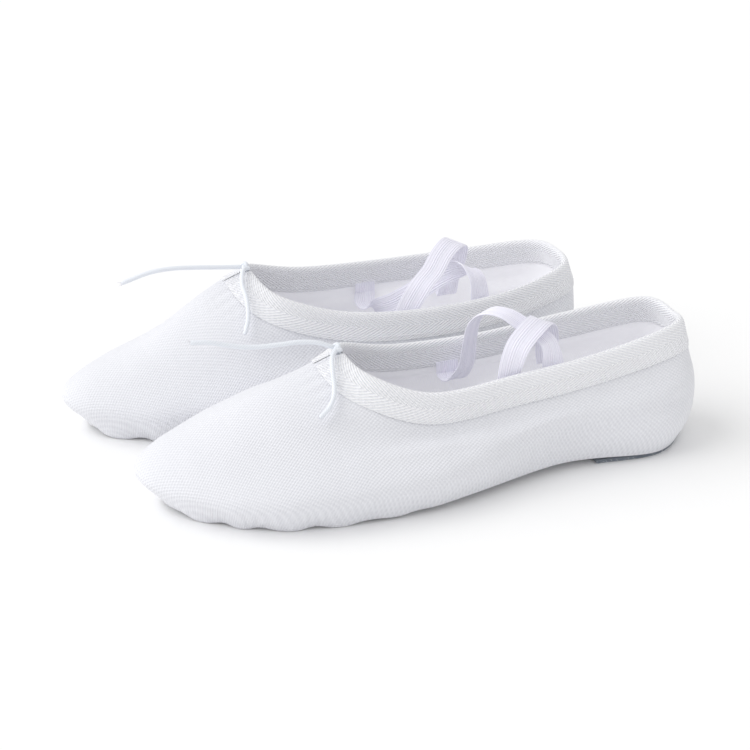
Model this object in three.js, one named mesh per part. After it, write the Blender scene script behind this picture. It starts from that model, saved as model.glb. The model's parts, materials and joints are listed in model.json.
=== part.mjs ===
// A pair of soft canvas ballet slippers with split suede soles, in millimetres, +Z up.
// Each slipper is worked out in its own frame: the toe is at x = 0 and the heel towards +X,
// y = 0 is its middle plane, and z = 0 is the floor under the suede.

import * as THREE from 'three';
import { mergeVertices } from 'three/addons/utils/BufferGeometryUtils.js';

// Overall sizes
const slipperLength = 245;
const ballWidth = 96;
const upperHeight = 58;

// Materials and trim
const clearance = 0.3;
const casingRoom = 0.35;
const canvasThickness = 1.0;
const liningThickness = 0.5;
const foldRoom = 0.5;
const insoleThickness = 2.0;
const soleThickness = 1.6;
const bindingThickness = 0.8;
const bindingWidth = 10;
const throatGap = 4;
const cordDiameter = 2;
const knotRadius = 2.1;
const strapWidth = 10;
const strapThickness = 0.9;
const hangingDrop = 1.5;
const hangingRoom = 1;
const seamTapeWidth = 8;
const seamTapeThickness = 0.5;
const seamTapeDrop = 24;
const forefootPatchShare = 0.84;
const heelPatchShare = 0.97;

// Where the second slipper stands beside the first, and how far it is turned, in degrees
const pairSpacing = 78;
const pairStagger = -16;
const pairTurn = 3.2;

// Mesh steps
const roundSteps = 40;
const wallSteps = 5;
const bottomSteps = 3;
const cordSides = 8;
const strapSteps = 34;
const tailStep = 3;

const cordRadius = cordDiameter / 2;
const bottomHeight = soleThickness + clearance;
const liningDepth = canvasThickness + clearance;
// The binding's inner leg clears the lining, and its casing clears the cord.
const insideFace = Math.max(liningDepth + liningThickness + foldRoom, cordDiameter + clearance);

const colours = {
  canvas: 0xeceef4, lining: 0xdfdfe2, binding: 0xf1f2f6, elastic: 0xe4e4f2,
  cord: 0xdfe6f0, suede: 0x2c3236, insole: 0xd8d6d2, tape: 0xe6e6ea,
};

// Guide lines round the upper, from the toe along one side to the heel. Each row is the share of
// the length, the share of half the ball width, and the share of the upper's height.
const soleEdge = [
  [0.033, 0, 0.035], [0.07, 0.365, 0.01], [0.212, 0.79, 0], [0.457, 0.86, 0.02],
  [0.714, 0.53, 0.03], [0.906, 0.52, 0], [0.986, 0, 0.01],
];
const widestLine = [
  [-0.012, 0, 0.28], [0.04, 0.47, 0.24], [0.204, 0.96, 0.21], [0.457, 0.98, 0.24],
  [0.7, 0.667, 0.26], [0.918, 0.625, 0.226], [1.004, 0, 0.22],
];
const instepLine = [
  [0.15, 0, 0.64], [0.2, 0.42, 0.595], [0.335, 0.79, 0.44], [0.53, 0.79, 0.41],
  [0.74, 0.66, 0.45], [0.935, 0.6, 0.47], [0.998, 0, 0.5],
];
// From the rim down to the lower edge of the collar, which stands nearly upright.
const collarDrop = [
  [-0.055, 0, -0.09], [-0.026, 0.08, -0.16], [-0.008, 0.05, -0.2], [-0.008, 0.06, -0.2],
  [-0.006, 0.05, -0.21], [0.007, 0.065, -0.195], [0.013, 0, -0.19],
];
const leftRim = [
  [0.339, 0, 0.945], [0.367, 0.375, 0.86], [0.473, 0.56, 0.71], [0.633, 0.5, 0.735],
  [0.796, 0.48, 0.815], [0.94, 0.35, 0.91], [0.968, 0, 0.895],
];
const rightRim = [
  [0.335, 0, 1.07], [0.363, 0.45, 0.96], [0.478, 0.63, 0.8], [0.629, 0.7, 0.745],
  [0.808, 0.64, 0.755], [0.95, 0.4, 0.83], [0.975, 0, 0.86],
];
// The side that faces the other slipper is narrower than the outer side near the sole.
const innerSideShare = 0.82;
const spineFront = 0.057;
const spineBack = 0.94;
const archRise = 0.035;

// ---------------------------------------------------------------------------------------------
// Mesh helpers

class Solid {
  constructor() {
    this.corners = [];
  }

  // Four corners in order, split along the shorter diagonal, as their neighbour's layer is.
  quad(a, b, c, d) {
    const first = a.distanceTo(c) < b.distanceTo(d);
    this.corners.push(...(first ? [a, b, c, a, c, d] : [b, c, d, b, d, a]));
  }

  geometry() {
    const geometry = new THREE.BufferGeometry().setFromPoints(this.corners);
    return outward(geometry);
  }
}

// Joins the corners of a closed mesh and turns its faces outwards.
function outward(source) {
  const bare = new THREE.BufferGeometry();
  bare.setAttribute('position', source.getAttribute('position').clone());
  if (source.index) bare.setIndex(source.index.clone());
  const geometry = mergeVertices(bare, 1e-3);
  const position = geometry.getAttribute('position');
  const corner = (i) => new THREE.Vector3().fromBufferAttribute(position, geometry.index.getX(i));
  const kept = [];
  let volume = 0;
  for (let i = 0; i < geometry.index.count; i += 3) {
    const ids = [0, 1, 2].map((k) => geometry.index.getX(i + k));
    if (new Set(ids).size < 3) continue;
    kept.push(ids);
    volume += corner(i).dot(corner(i + 1).cross(corner(i + 2)));
  }
  geometry.setIndex((volume < 0 ? kept.map(([a, b, c]) => [a, c, b]) : kept).flat());
  return geometry;
}

// Skins a row of rings that each have the same even number of points. A closed path joins the
// last ring to the first, and an open one gets a cap at each end.
function loft(rings, { closedPath = false, closedRing = true } = {}) {
  const solid = new Solid();
  const count = rings[0].length;
  const last = rings.length - 1;
  const sides = closedRing ? count : count - 1;
  for (let k = 0; k < (closedPath ? rings.length : last); k++) {
    const ring = rings[k];
    const next = rings[(k + 1) % rings.length];
    for (let i = 0; i < sides; i++) {
      const j = (i + 1) % count;
      solid.quad(ring[i], ring[j], next[j], next[i]);
    }
  }
  if (!closedPath) {
    for (let i = 0; i < count / 2 - 1; i++) {
      const [start, end] = [rings[0], rings[last]];
      solid.quad(start[i + 1], start[i], start[count - 1 - i], start[count - 2 - i]);
      solid.quad(end[i], end[i + 1], end[count - 2 - i], end[count - 1 - i]);
    }
  }
  return solid.geometry();
}

// A slab between two grids of points, walled along its far edge and its two ends.
function slab(low, high) {
  const solid = new Solid();
  const last = low.length - 1;
  const edge = low[0].length - 1;
  for (let i = 0; i < last; i++) {
    for (let j = 0; j < edge; j++) {
      solid.quad(high[i][j], high[i + 1][j], high[i + 1][j + 1], high[i][j + 1]);
      solid.quad(low[i][j], low[i][j + 1], low[i + 1][j + 1], low[i + 1][j]);
    }
    solid.quad(high[i][edge], high[i + 1][edge], low[i + 1][edge], low[i][edge]);
  }
  for (let j = 0; j < edge; j++) {
    solid.quad(high[last][j + 1], high[last][j], low[last][j], low[last][j + 1]);
    solid.quad(high[0][j], high[0][j + 1], low[0][j + 1], low[0][j]);
  }
  return solid.geometry();
}

function tube(points, steps) {
  const section = new THREE.Shape();
  section.absarc(0, 0, cordRadius, 0, 2 * Math.PI);
  const path = new THREE.CatmullRomCurve3(points, false, 'centripetal');
  const options = { steps, extrudePath: path, curveSegments: cordSides / 2, bevelEnabled: false };
  return outward(new THREE.ExtrudeGeometry(section, options));
}

const steps = (count) => Array.from({ length: count + 1 }, (_, i) => i / count);

// The turns that every closed band shares, so that their faces lie side by side.
const turns = steps(roundSteps).slice(0, -1);

// Distances below the rim at which a wall of this length has its rows, from the sole edge up:
// closer together near the sole edge, then the binding's lower edge, its middle and the rim.
function wallLevels(length) {
  const under = steps(wallSteps).map((share) => (
    length - (length - bindingWidth) * share ** 1.4));
  return [...under, bindingWidth / 2, 0];
}

// ---------------------------------------------------------------------------------------------
// The upper's shape. A turn runs from 0 at the toe, by the +Y side, to 0.5 at the heel and on
// to 1 at the toe again.

function upperShape(rimRows, innerSide) {
  const place = ([along, across, up]) => new THREE.Vector3(
    along * slipperLength, (across * ballWidth) / 2, bottomHeight + up * upperHeight);
  const collar = rimRows.map((row, i) => row.map((share, k) => share + collarDrop[i][k]));
  const loops = [soleEdge, widestLine, instepLine, collar, rimRows].map((rows) => {
    const mirrored = rows.slice(1, -1).reverse().map(([along, across, up]) => [along, -across, up]);
    const points = [...rows, ...mirrored].map(place);
    for (const point of points) {
      const low = rows === soleEdge || rows === widestLine;
      if (low && point.y * innerSide > 0) point.y *= innerSideShare;
    }
    return new THREE.CatmullRomCurve3(points, true, 'catmullrom', 0.5);
  });

  // The wall at one turn is a smooth curve through its guide points, from the sole edge up.
  function profile(turn) {
    const guides = loops.map((loop) => loop.getPoint(((turn % 1) + 1) % 1));
    const samples = new THREE.CatmullRomCurve3(guides, false, 'centripetal').getPoints(48);
    const lengths = [0];
    for (let i = 1; i < samples.length; i++) {
      lengths.push(lengths[i - 1] + samples[i].distanceTo(samples[i - 1]));
    }
    return { samples, lengths };
  }

  const wallLength = (turn) => profile(turn).lengths.at(-1);

  // A point on the outside of the wall, at a distance below the rim. A distance below zero goes
  // on past the rim in the wall's own direction.
  function onWall(turn, below) {
    const { samples, lengths } = profile(turn);
    const along = lengths.at(-1) - below;
    let i = lengths.findIndex((length) => length > along);
    if (i < 1) i = along <= 0 ? 1 : lengths.length - 1;
    const share = (along - lengths[i - 1]) / (lengths[i] - lengths[i - 1]);
    return samples[i - 1].clone().lerp(samples[i], share);
  }

  function frameAt(turn, below) {
    const step = 0.5;
    const nudge = 0.002;
    const up = onWall(turn, below - step).sub(onWall(turn, below + step)).normalize();
    const round = onWall(turn + nudge, below).sub(onWall(turn - nudge, below)).normalize();
    const out = up.clone().cross(round).normalize();
    return { up, round, out };
  }

  // The same point moved outwards, or inwards where out is below zero.
  function offWall(turn, below, out) {
    return onWall(turn, below).addScaledVector(frameAt(turn, below).out, out);
  }

  // The flat underside, from the middle line at share 0 to the sole edge at share 1.
  function onBottom(turn, share) {
    const swing = (1 - Math.cos(2 * Math.PI * turn)) / 2;
    const arch = Math.sin(2 * Math.PI * turn) ** 2;
    const spine = place([spineFront + (spineBack - spineFront) * swing, 0, archRise * arch]);
    return spine.lerp(loops[0].getPoint(((turn % 1) + 1) % 1), share);
  }

  // How far the turn goes for a given distance along the rim, either side of the throat.
  const turnAtThroat = (distance) => (0.01 * distance) / onWall(0.01, 0).distanceTo(onWall(0, 0));

  return { wallLength, onWall, offWall, frameAt, onBottom, turnAtThroat };
}

// ---------------------------------------------------------------------------------------------
// Sub-parts

// Canvas, from the middle of the underside round the sole edge and up to the rim.
function canvasUpper(shape) {
  const up = new THREE.Vector3(0, 0, canvasThickness);
  const rings = turns.map((turn) => {
    const length = shape.wallLength(turn);
    const outside = [];
    const inside = [];
    for (const share of steps(bottomSteps).slice(0, -1)) {
      outside.push(shape.onBottom(turn, share));
      inside.push(shape.onBottom(turn, share).add(up));
    }
    outside.push(shape.onWall(turn, length));
    inside.push(shape.offWall(turn, length - canvasThickness, -canvasThickness).setZ(
      outside.at(-1).z + canvasThickness));
    for (const below of wallLevels(length).slice(1)) {
      outside.push(shape.onWall(turn, below));
      inside.push(shape.offWall(turn, below, -canvasThickness));
    }
    return [...outside, ...inside.reverse()];
  });
  return loft(rings, { closedPath: true, closedRing: false });
}

// Cotton lining, a closed band just inside the canvas from the insole's edge to the rim.
function cottonLining(shape) {
  const rings = turns.map((turn) => {
    const levels = wallLevels(shape.wallLength(turn)).slice(1);
    const outside = levels.map((below) => shape.offWall(turn, below, -liningDepth));
    const inside = levels.map((below) => shape.offWall(turn, below, -liningDepth - liningThickness));
    return [...outside, ...inside.reverse()];
  });
  return loft(rings, { closedPath: true });
}

// The binding's turns start and end at the gap at the throat.
function bindingTurns(shape) {
  const end = shape.turnAtThroat(throatGap / 2);
  return [end, ...turns.slice(1), 1 - end];
}

// Twill binding folded over the rim: a leg outside, a casing above the rim, and a leg inside.
function throatBinding(shape) {
  const casing = cordDiameter + 2 * casingRoom;
  const shoulder = 0.3;
  const rings = bindingTurns(shape).map((turn) => {
    const at = (below, out) => shape.offWall(turn, below, out);
    const levels = [bindingWidth, bindingWidth / 2, 0];
    const folded = (thickness) => [
      ...levels.map((below) => at(below, clearance + thickness)),
      at(-casing - thickness, clearance + thickness - shoulder),
      at(-casing - thickness, shoulder - insideFace - thickness),
      ...levels.toReversed().map((below) => at(below, -insideFace - thickness)),
    ];
    return [...folded(bindingThickness), ...folded(0).toReversed()];
  });
  return loft(rings);
}

const casingMiddle = (clearance - insideFace) / 2;
const casingHeight = -casingRoom - cordRadius;

// The drawcord in the binding's casing. Its ends come out at the throat, under the knot.
function drawcordLoop(shape) {
  const end = shape.turnAtThroat(cordRadius + clearance);
  const rings = [end, ...bindingTurns(shape), 1 - end].map((turn) => (
    steps(cordSides).slice(1).map((corner) => {
      const below = casingHeight + cordRadius * Math.sin(2 * Math.PI * corner);
      return shape.offWall(turn, below, casingMiddle + cordRadius * Math.cos(2 * Math.PI * corner));
    })));
  return loft(rings);
}

function knotCentre(shape) {
  return shape.offWall(0, casingHeight, casingMiddle + cordRadius + clearance + knotRadius);
}

function drawcordKnot(shape) {
  const geometry = new THREE.SphereGeometry(knotRadius, 12, 8);
  geometry.translate(...knotCentre(shape).toArray());
  return outward(geometry);
}

// A free tail of the drawcord, from the knot's surface along its own route.
function drawcordTail(shape, route) {
  const knot = knotCentre(shape);
  const points = route.map((offset) => knot.clone().add(new THREE.Vector3(...offset)));
  return tube(points, Math.round(new THREE.CatmullRomCurve3(points).getLength() / tailStep));
}

// A pad that follows the underside round one end, so many steps either way from its middle turn.
function insole(shape, middleTurn, reachSteps) {
  const reach = 0.9;
  const turnAt = (i) => middleTurn + (i - reachSteps) / roundSteps;
  const grid = (lift) => Array.from({ length: 2 * reachSteps + 1 }, (_, i) => (
    steps(2).map((edge) => (
      shape.onBottom(turnAt(i), edge * reach).add(new THREE.Vector3(0, 0, lift))))));
  const lowest = canvasThickness + clearance;
  return slab(grid(lowest), grid(lowest + insoleThickness));
}

// A flat suede patch under the canvas, its outline a share of the way out to the sole edge.
function suedePatch(shape, middleTurn, reachTurn, reach) {
  const outline = steps(24).map((share) => (
    shape.onBottom(middleTurn + (2 * share - 1) * reachTurn, reach)));
  const patch = new THREE.Shape(outline.map((point) => new THREE.Vector2(point.x, point.y)));
  return outward(new THREE.ExtrudeGeometry(patch, { depth: soleThickness, bevelEnabled: false }));
}

// Tape over the centre-back seam, on the lining, from the binding's inner leg downwards.
function heelSeamTape(shape) {
  const rings = steps(4).map((share) => {
    const below = bindingWidth + clearance + share * seamTapeDrop;
    const row = (out) => [-1, 0, 1].map((side) => {
      const middle = shape.offWall(0.5, below, out);
      const next = shape.offWall(0.5 + side / roundSteps, below, out);
      const reach = side === 0 ? 0 : seamTapeWidth / 2 / middle.distanceTo(next);
      return middle.lerp(next, reach);
    });
    return [...row(-insideFace), ...row(-insideFace - seamTapeThickness).reverse()];
  });
  return loft(rings);
}

// A flat elastic through its route. Each stop gives its place and the way its width lies.
function crossStrap(shape, { from, to, stops: rows }) {
  const stops = [...hangingEnd(shape, from), ...freeStops(rows), ...sewnEnd(shape, to).reverse()];
  const path = new THREE.CatmullRomCurve3(stops.map((stop) => stop.at), false, 'centripetal');
  const widths = new THREE.CatmullRomCurve3(stops.map((stop) => stop.across), false, 'catmullrom', 0.5);
  const rings = steps(strapSteps).map((share) => {
    const centre = path.getPoint(share);
    const forward = path.getTangent(share);
    const across = widths.getPoint(share);
    across.addScaledVector(forward, -across.dot(forward)).setLength(strapWidth / 2);
    const thick = across.clone().cross(forward).setLength(strapThickness / 2);
    return [[-1, -1], [1, -1], [1, 1], [-1, 1]].map(([w, t]) => (
      centre.clone().addScaledVector(across, w).addScaledVector(thick, t)));
  });
  return loft(rings);
}

// A strap's stop on the inside of the wall. Its width lies along the rim, towards the heel.
function stopOnWall(shape, turn, below, depth) {
  const at = shape.offWall(turn, below, -depth - strapThickness / 2);
  const across = shape.frameAt(turn, below).round;
  return { at, across: across.x < 0 ? across.negate() : across };
}

// A strap's end that hangs straight down the lining from under the binding's inner leg.
function hangingEnd(shape, turn) {
  const below = bindingWidth + hangingDrop;
  const top = stopOnWall(shape, turn, below, insideFace + hangingRoom);
  const { out } = shape.frameAt(turn, below);
  const down = top.across.clone().cross(out);
  if (down.z > 0) down.negate();
  const at = top.at.clone().addScaledVector(down, hangingDrop).addScaledVector(out, -foldRoom);
  return [top, { at, across: top.across }];
}

// A strap's end sewn to the face of the binding's inner leg.
function sewnEnd(shape, turn) {
  const seat = insideFace + bindingThickness + foldRoom + clearance;
  return [
    stopOnWall(shape, turn, 0.8 * bindingWidth, seat),
    stopOnWall(shape, turn, bindingWidth / 2, seat),
    stopOnWall(shape, turn, 0, seat + foldRoom),
  ];
}

// Stops between a strap's ends: shares of the length, of half the ball width and of the height,
// then the direction in which the strap's width lies.
function freeStops(rows) {
  return rows.map(([along, across, up, ...width]) => ({
    at: new THREE.Vector3(
      along * slipperLength, (across * ballWidth) / 2, bottomHeight + up * upperHeight),
    across: new THREE.Vector3(...width),
  }));
}

// ---------------------------------------------------------------------------------------------
// Routes of the straps and of the cord's two free tails

// Strap a runs from the far side forwards to the near side behind it, and strap b the other way,
// over strap a.
const leftStraps = {
  a: { from: 0.225, to: 0.715, stops: [
    [0.58, 0.43, 0.455, 1, 0.1, 0],
    [0.587, 0.385, 0.475, 1, 0.15, 0],
    [0.595, 0.345, 0.54, 0.95, 0.3, 0],
    [0.6, 0.318, 0.629, 0.9, 0.4, 0],
    [0.6, 0.292, 0.738, 0.85, 0.5, 0],
    [0.6, 0.25, 0.859, 0.84, 0.54, 0],
    [0.602, 0.208, 0.967, 0.84, 0.54, 0],
    [0.61, 0.156, 1.05, 0.82, 0.57, 0],
    [0.623, 0.083, 1.095, 0.8, 0.6, 0],
    [0.643, -0.01, 1.09, 0.8, 0.6, 0],
    [0.667, -0.104, 1.028, 0.8, 0.55, 0.1],
    [0.686, -0.208, 0.984, 0.82, 0.5, 0.1],
    [0.7, -0.312, 0.924, 0.82, 0.5, 0.1],
  ] },
  b: { from: 0.32, to: 0.757, stops: [
    [0.753, 0.292, 0.536, 1, 0, 0],
    [0.743, 0.208, 0.657, 0.95, -0.2, 0],
    [0.735, 0.125, 0.812, 0.9, -0.35, 0],
    [0.722, 0.021, 0.933, 0.85, -0.45, 0],
    [0.702, -0.104, 1.036, 0.85, -0.5, -0.3],
    [0.682, -0.219, 1.053, 0.85, -0.5, -0.3],
    [0.659, -0.302, 1.019, 0.85, -0.5, -0.3],
    [0.635, -0.375, 0.941, 0.85, -0.4, -0.2],
  ] },
};
const rightStraps = {
  a: { from: 0.25, to: 0.69, stops: [
    [0.615, 0.55, 0.455, 0.95, -0.3, -0.1],
    [0.632, 0.46, 0.445, 0.75, -0.5, -0.3],
    [0.655, 0.34, 0.5, 0.45, -0.6, -0.6],
    [0.668, 0.25, 0.565, 0.35, -0.6, -0.7],
    [0.691, 0.1, 0.68, 0.3, -0.5, -0.8],
    [0.714, -0.09, 0.83, 0.4, -0.5, -0.8],
    [0.735, -0.271, 0.941, 0.6, -0.4, -0.6],
    [0.749, -0.396, 0.976, 0.85, 0.2, -0.4],
    [0.757, -0.5, 0.916, 0.85, 0.4, 0],
  ] },
  b: { from: 0.325, to: 0.763, stops: [
    [0.78, 0.46, 0.467, 1, 0, 0],
    [0.778, 0.375, 0.622, 0.95, -0.1, 0],
    [0.778, 0.271, 0.795, 0.8, -0.3, 0],
    [0.773, 0.146, 0.95, 0.7, -0.5, 0],
    [0.759, 0.0, 1.071, 0.65, -0.6, -0.2],
    [0.735, -0.125, 1.11, 0.62, -0.6, -0.3],
    [0.706, -0.25, 1.076, 0.62, -0.6, -0.3],
    [0.673, -0.417, 1.002, 0.62, -0.6, -0.3],
    [0.641, -0.53, 0.935, 0.7, -0.5, -0.2],
  ] },
};

// The cord's free tails, in millimetres from the middle of the knot. Tail a stands out over the
// toe, and tail b lies on the binding and the vamp.
const leftTails = {
  a: [[-2.4, 0.1, 1.1], [-8, 0.3, 3.5], [-16, 0.6, 4.8], [-24, 0.9, 4.7], [-32, 1.3, 4.7],
    [-40, 1.7, 5.6], [-46.5, 2.1, 7.2], [-53, 2.5, 9], [-59.7, 3, 9.6]],
  b: [[-1.6, -2.1, 0], [-4, -5.8, -1], [-5.7, -11.7, -4], [-6.4, -16.2, -8.9],
    [-8, -20.1, -12.2], [-10.8, -23, -15], [-14.7, -25, -17.2]],
};
const rightTails = {
  a: [[-2.6, 0.1, 0.4], [-11.4, 0.3, 1.4], [-22.5, 0.8, 2.7], [-33.6, 1.5, 3.5], [-43, 2.2, 2.8],
    [-54.9, 3, -0.5]],
  b: [[-1, -2.4, 0.2], [-3, -5.6, 0], [-5.2, -11.8, -3.5], [-5.6, -18.8, -7.6],
    [-7, -24.7, -13.8], [-9.6, -28.3, -19]],
};

// ---------------------------------------------------------------------------------------------
// One slipper

function slipper(side, rimRows, innerSide, straps, tails) {
  const shape = upperShape(rimRows, innerSide);
  const group = new THREE.Group();
  const add = (name, geometry, color, roughness) => {
    const material = new THREE.MeshStandardMaterial({ color, roughness, metalness: 0 });
    const mesh = new THREE.Mesh(geometry, material);
    mesh.name = `${side}_${name}`;
    group.add(mesh);
  };
  add('canvas_upper', canvasUpper(shape), colours.canvas, 0.9);
  add('cotton_lining', cottonLining(shape), colours.lining, 0.9);
  add('throat_binding', throatBinding(shape), colours.binding, 0.85);
  add('drawcord_loop', drawcordLoop(shape), colours.cord, 0.6);
  add('drawcord_knot', drawcordKnot(shape), colours.cord, 0.6);
  add('drawcord_tail_a', drawcordTail(shape, tails.a), colours.cord, 0.6);
  add('drawcord_tail_b', drawcordTail(shape, tails.b), colours.cord, 0.6);
  add('forefoot_insole', insole(shape, 0, 9), colours.insole, 0.9);
  add('heel_insole', insole(shape, 0.5, 6), colours.insole, 0.9);
  add('forefoot_sole', suedePatch(shape, 0, 0.225, forefootPatchShare), colours.suede, 0.95);
  add('heel_sole', suedePatch(shape, 0.5, 0.14, heelPatchShare), colours.suede, 0.95);
  add('heel_seam_tape', heelSeamTape(shape), colours.tape, 0.85);
  add('cross_strap_a', crossStrap(shape, straps.a), colours.elastic, 0.6);
  add('cross_strap_b', crossStrap(shape, straps.b), colours.elastic, 0.6);
  return group;
}

const left = slipper('left', leftRim, 1, leftStraps, leftTails);
const right = slipper('right', rightRim, -1, rightStraps, rightTails);
right.position.set(pairStagger, pairSpacing, 0);
right.rotation.z = THREE.MathUtils.degToRad(pairTurn);

// The origin is under the middle of the pair, on the floor.
const pair = new THREE.Group();
pair.add(left, right);
pair.updateMatrixWorld(true);
const middle = new THREE.Box3().setFromObject(pair, true).getCenter(new THREE.Vector3());
pair.position.set(-middle.x, -middle.y, 0);

export default pair;
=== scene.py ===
import json
import math

import bpy
import numpy as np
from mathutils import Matrix, Vector, noise


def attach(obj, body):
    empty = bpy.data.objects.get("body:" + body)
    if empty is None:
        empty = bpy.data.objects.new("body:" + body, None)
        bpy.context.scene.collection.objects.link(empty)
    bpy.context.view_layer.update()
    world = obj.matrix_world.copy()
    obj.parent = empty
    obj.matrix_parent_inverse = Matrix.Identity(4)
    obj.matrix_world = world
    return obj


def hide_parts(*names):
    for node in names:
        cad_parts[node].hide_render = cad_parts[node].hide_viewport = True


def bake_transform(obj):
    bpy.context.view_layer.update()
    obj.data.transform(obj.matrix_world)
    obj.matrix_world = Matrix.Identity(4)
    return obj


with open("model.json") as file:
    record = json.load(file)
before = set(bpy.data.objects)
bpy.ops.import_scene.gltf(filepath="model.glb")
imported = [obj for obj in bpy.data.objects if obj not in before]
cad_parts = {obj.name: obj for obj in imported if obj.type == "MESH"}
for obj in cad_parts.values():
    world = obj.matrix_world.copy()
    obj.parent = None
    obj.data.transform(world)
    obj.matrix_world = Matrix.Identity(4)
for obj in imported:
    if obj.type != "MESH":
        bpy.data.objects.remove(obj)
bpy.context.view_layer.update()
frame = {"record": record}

# A pair of soft canvas ballet slippers, in metres. Each slipper has its own frame: x runs from the
# toe to the heel, y across and z up from the floor. The outer face of the canvas is one surface
# through five closed guide loops, from the sole edge up to the rim. A point on it is given by its
# turn round the slipper (0 at the toe, 0.5 at the heel) and its distance below the rim, and every
# layer is an offset of it.

# ---------------------------------------------------------------------------------------------
# Driving sizes, the same as the solids'

MM = 0.001
SLIPPER_LENGTH = 245 * MM
BALL_WIDTH = 96 * MM
UPPER_HEIGHT = 58 * MM
CLEARANCE = 0.3 * MM
CASING_ROOM = 0.35 * MM
CANVAS_THICKNESS = 1.0 * MM
LINING_THICKNESS = 0.5 * MM
FOLD_ROOM = 0.5 * MM
INSOLE_THICKNESS = 2.0 * MM
SOLE_THICKNESS = 1.6 * MM
BINDING_THICKNESS = 0.8 * MM
BINDING_WIDTH = 10 * MM
THROAT_GAP = 4 * MM
CORD_DIAMETER = 2 * MM
KNOT_RADIUS = 2.1 * MM
STRAP_WIDTH = 10 * MM
STRAP_THICKNESS = 0.9 * MM
SEAM_TAPE_WIDTH = 8 * MM
SEAM_TAPE_DROP = 24 * MM
FOREFOOT_PATCH_SHARE = 0.84
HEEL_PATCH_SHARE = 0.97
HANGING_DROP = 1.5 * MM
HANGING_ROOM = 1 * MM
FOREFOOT_MARK = 50 * MM
PAIR_TURN = 3.2

CORD_RADIUS = CORD_DIAMETER / 2
BOTTOM_HEIGHT = SOLE_THICKNESS + CLEARANCE
LINING_DEPTH = CANVAS_THICKNESS + CLEARANCE
INSIDE_FACE = LINING_DEPTH + LINING_THICKNESS + FOLD_ROOM
CASING_HEIGHT = -CASING_ROOM - CORD_RADIUS
CASING_MIDDLE = (CLEARANCE - INSIDE_FACE) / 2

# Sizes that only the look needs: the binding's tape and its end at the throat, the seams' stitches,
# the pleats at the sole edge and the gathers at the throat.
TAPE_THICKNESS = 0.45 * MM
PRESSED_EDGE = 0.5
TAPE_END = 0.3 * THROAT_GAP
SEAM_FROM_EDGE = 2 * MM
SEAM_PITCH = 3.1 * MM
SEAM_STITCH = 2.3 * MM
SEAM_THREAD = 0.42 * MM
BACK_PITCH = 2.8 * MM
BACK_STITCH = 2.0 * MM
BACK_THREAD = 0.36 * MM
BACK_SPACING = 2.2 * MM
TACK_PITCH = 1.1 * MM
PLEAT_PERIOD = 21 * MM
PLEAT_DEPTH = 0.85 * MM
GATHER_PERIOD = 4.2 * MM
THROAT_REACH = 26 * MM

# Shares of the length, of half the ball width and of the upper's height above the underside.
SOLE_EDGE = [[0.033, 0, 0.035], [0.07, 0.365, 0.01], [0.212, 0.79, 0], [0.457, 0.86, 0.02],
             [0.714, 0.53, 0.03], [0.906, 0.52, 0], [0.986, 0, 0.01]]
WIDEST_LINE = [[-0.012, 0, 0.28], [0.04, 0.47, 0.24], [0.204, 0.96, 0.21], [0.457, 0.98, 0.24],
               [0.7, 0.667, 0.26], [0.918, 0.625, 0.226], [1.004, 0, 0.22]]
INSTEP_LINE = [[0.15, 0, 0.64], [0.2, 0.42, 0.595], [0.335, 0.79, 0.44], [0.53, 0.79, 0.41],
               [0.74, 0.66, 0.45], [0.935, 0.6, 0.47], [0.998, 0, 0.5]]
COLLAR_DROP = [[-0.055, 0, -0.09], [-0.026, 0.08, -0.16], [-0.008, 0.05, -0.2],
               [-0.008, 0.06, -0.2], [-0.006, 0.05, -0.21], [0.007, 0.065, -0.195],
               [0.013, 0, -0.19]]
LEFT_RIM = [[0.339, 0, 0.945], [0.367, 0.375, 0.86], [0.473, 0.56, 0.71], [0.633, 0.5, 0.735],
            [0.796, 0.48, 0.815], [0.94, 0.35, 0.91], [0.968, 0, 0.895]]
RIGHT_RIM = [[0.335, 0, 1.07], [0.363, 0.45, 0.96], [0.478, 0.63, 0.8], [0.629, 0.7, 0.745],
             [0.808, 0.64, 0.755], [0.95, 0.4, 0.83], [0.975, 0, 0.86]]
INNER_SIDE_SHARE = 0.82
SPINE_FRONT = 0.057
SPINE_BACK = 0.94
ARCH_RISE = 0.035

# Hollows in the cloth's sides: the turn, then the height above the sole edge, the depth and the
# width in millimetres.
CLOTH_DIPS = [(0.665, 14, 2.4, 14), (0.695, 25, 1.8, 12), (0.335, 15, 2, 15), (0.592, 27, 2.4, 9),
              (0.63, 20, 1.3, 12), (0.41, 25, 2, 9)]

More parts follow.
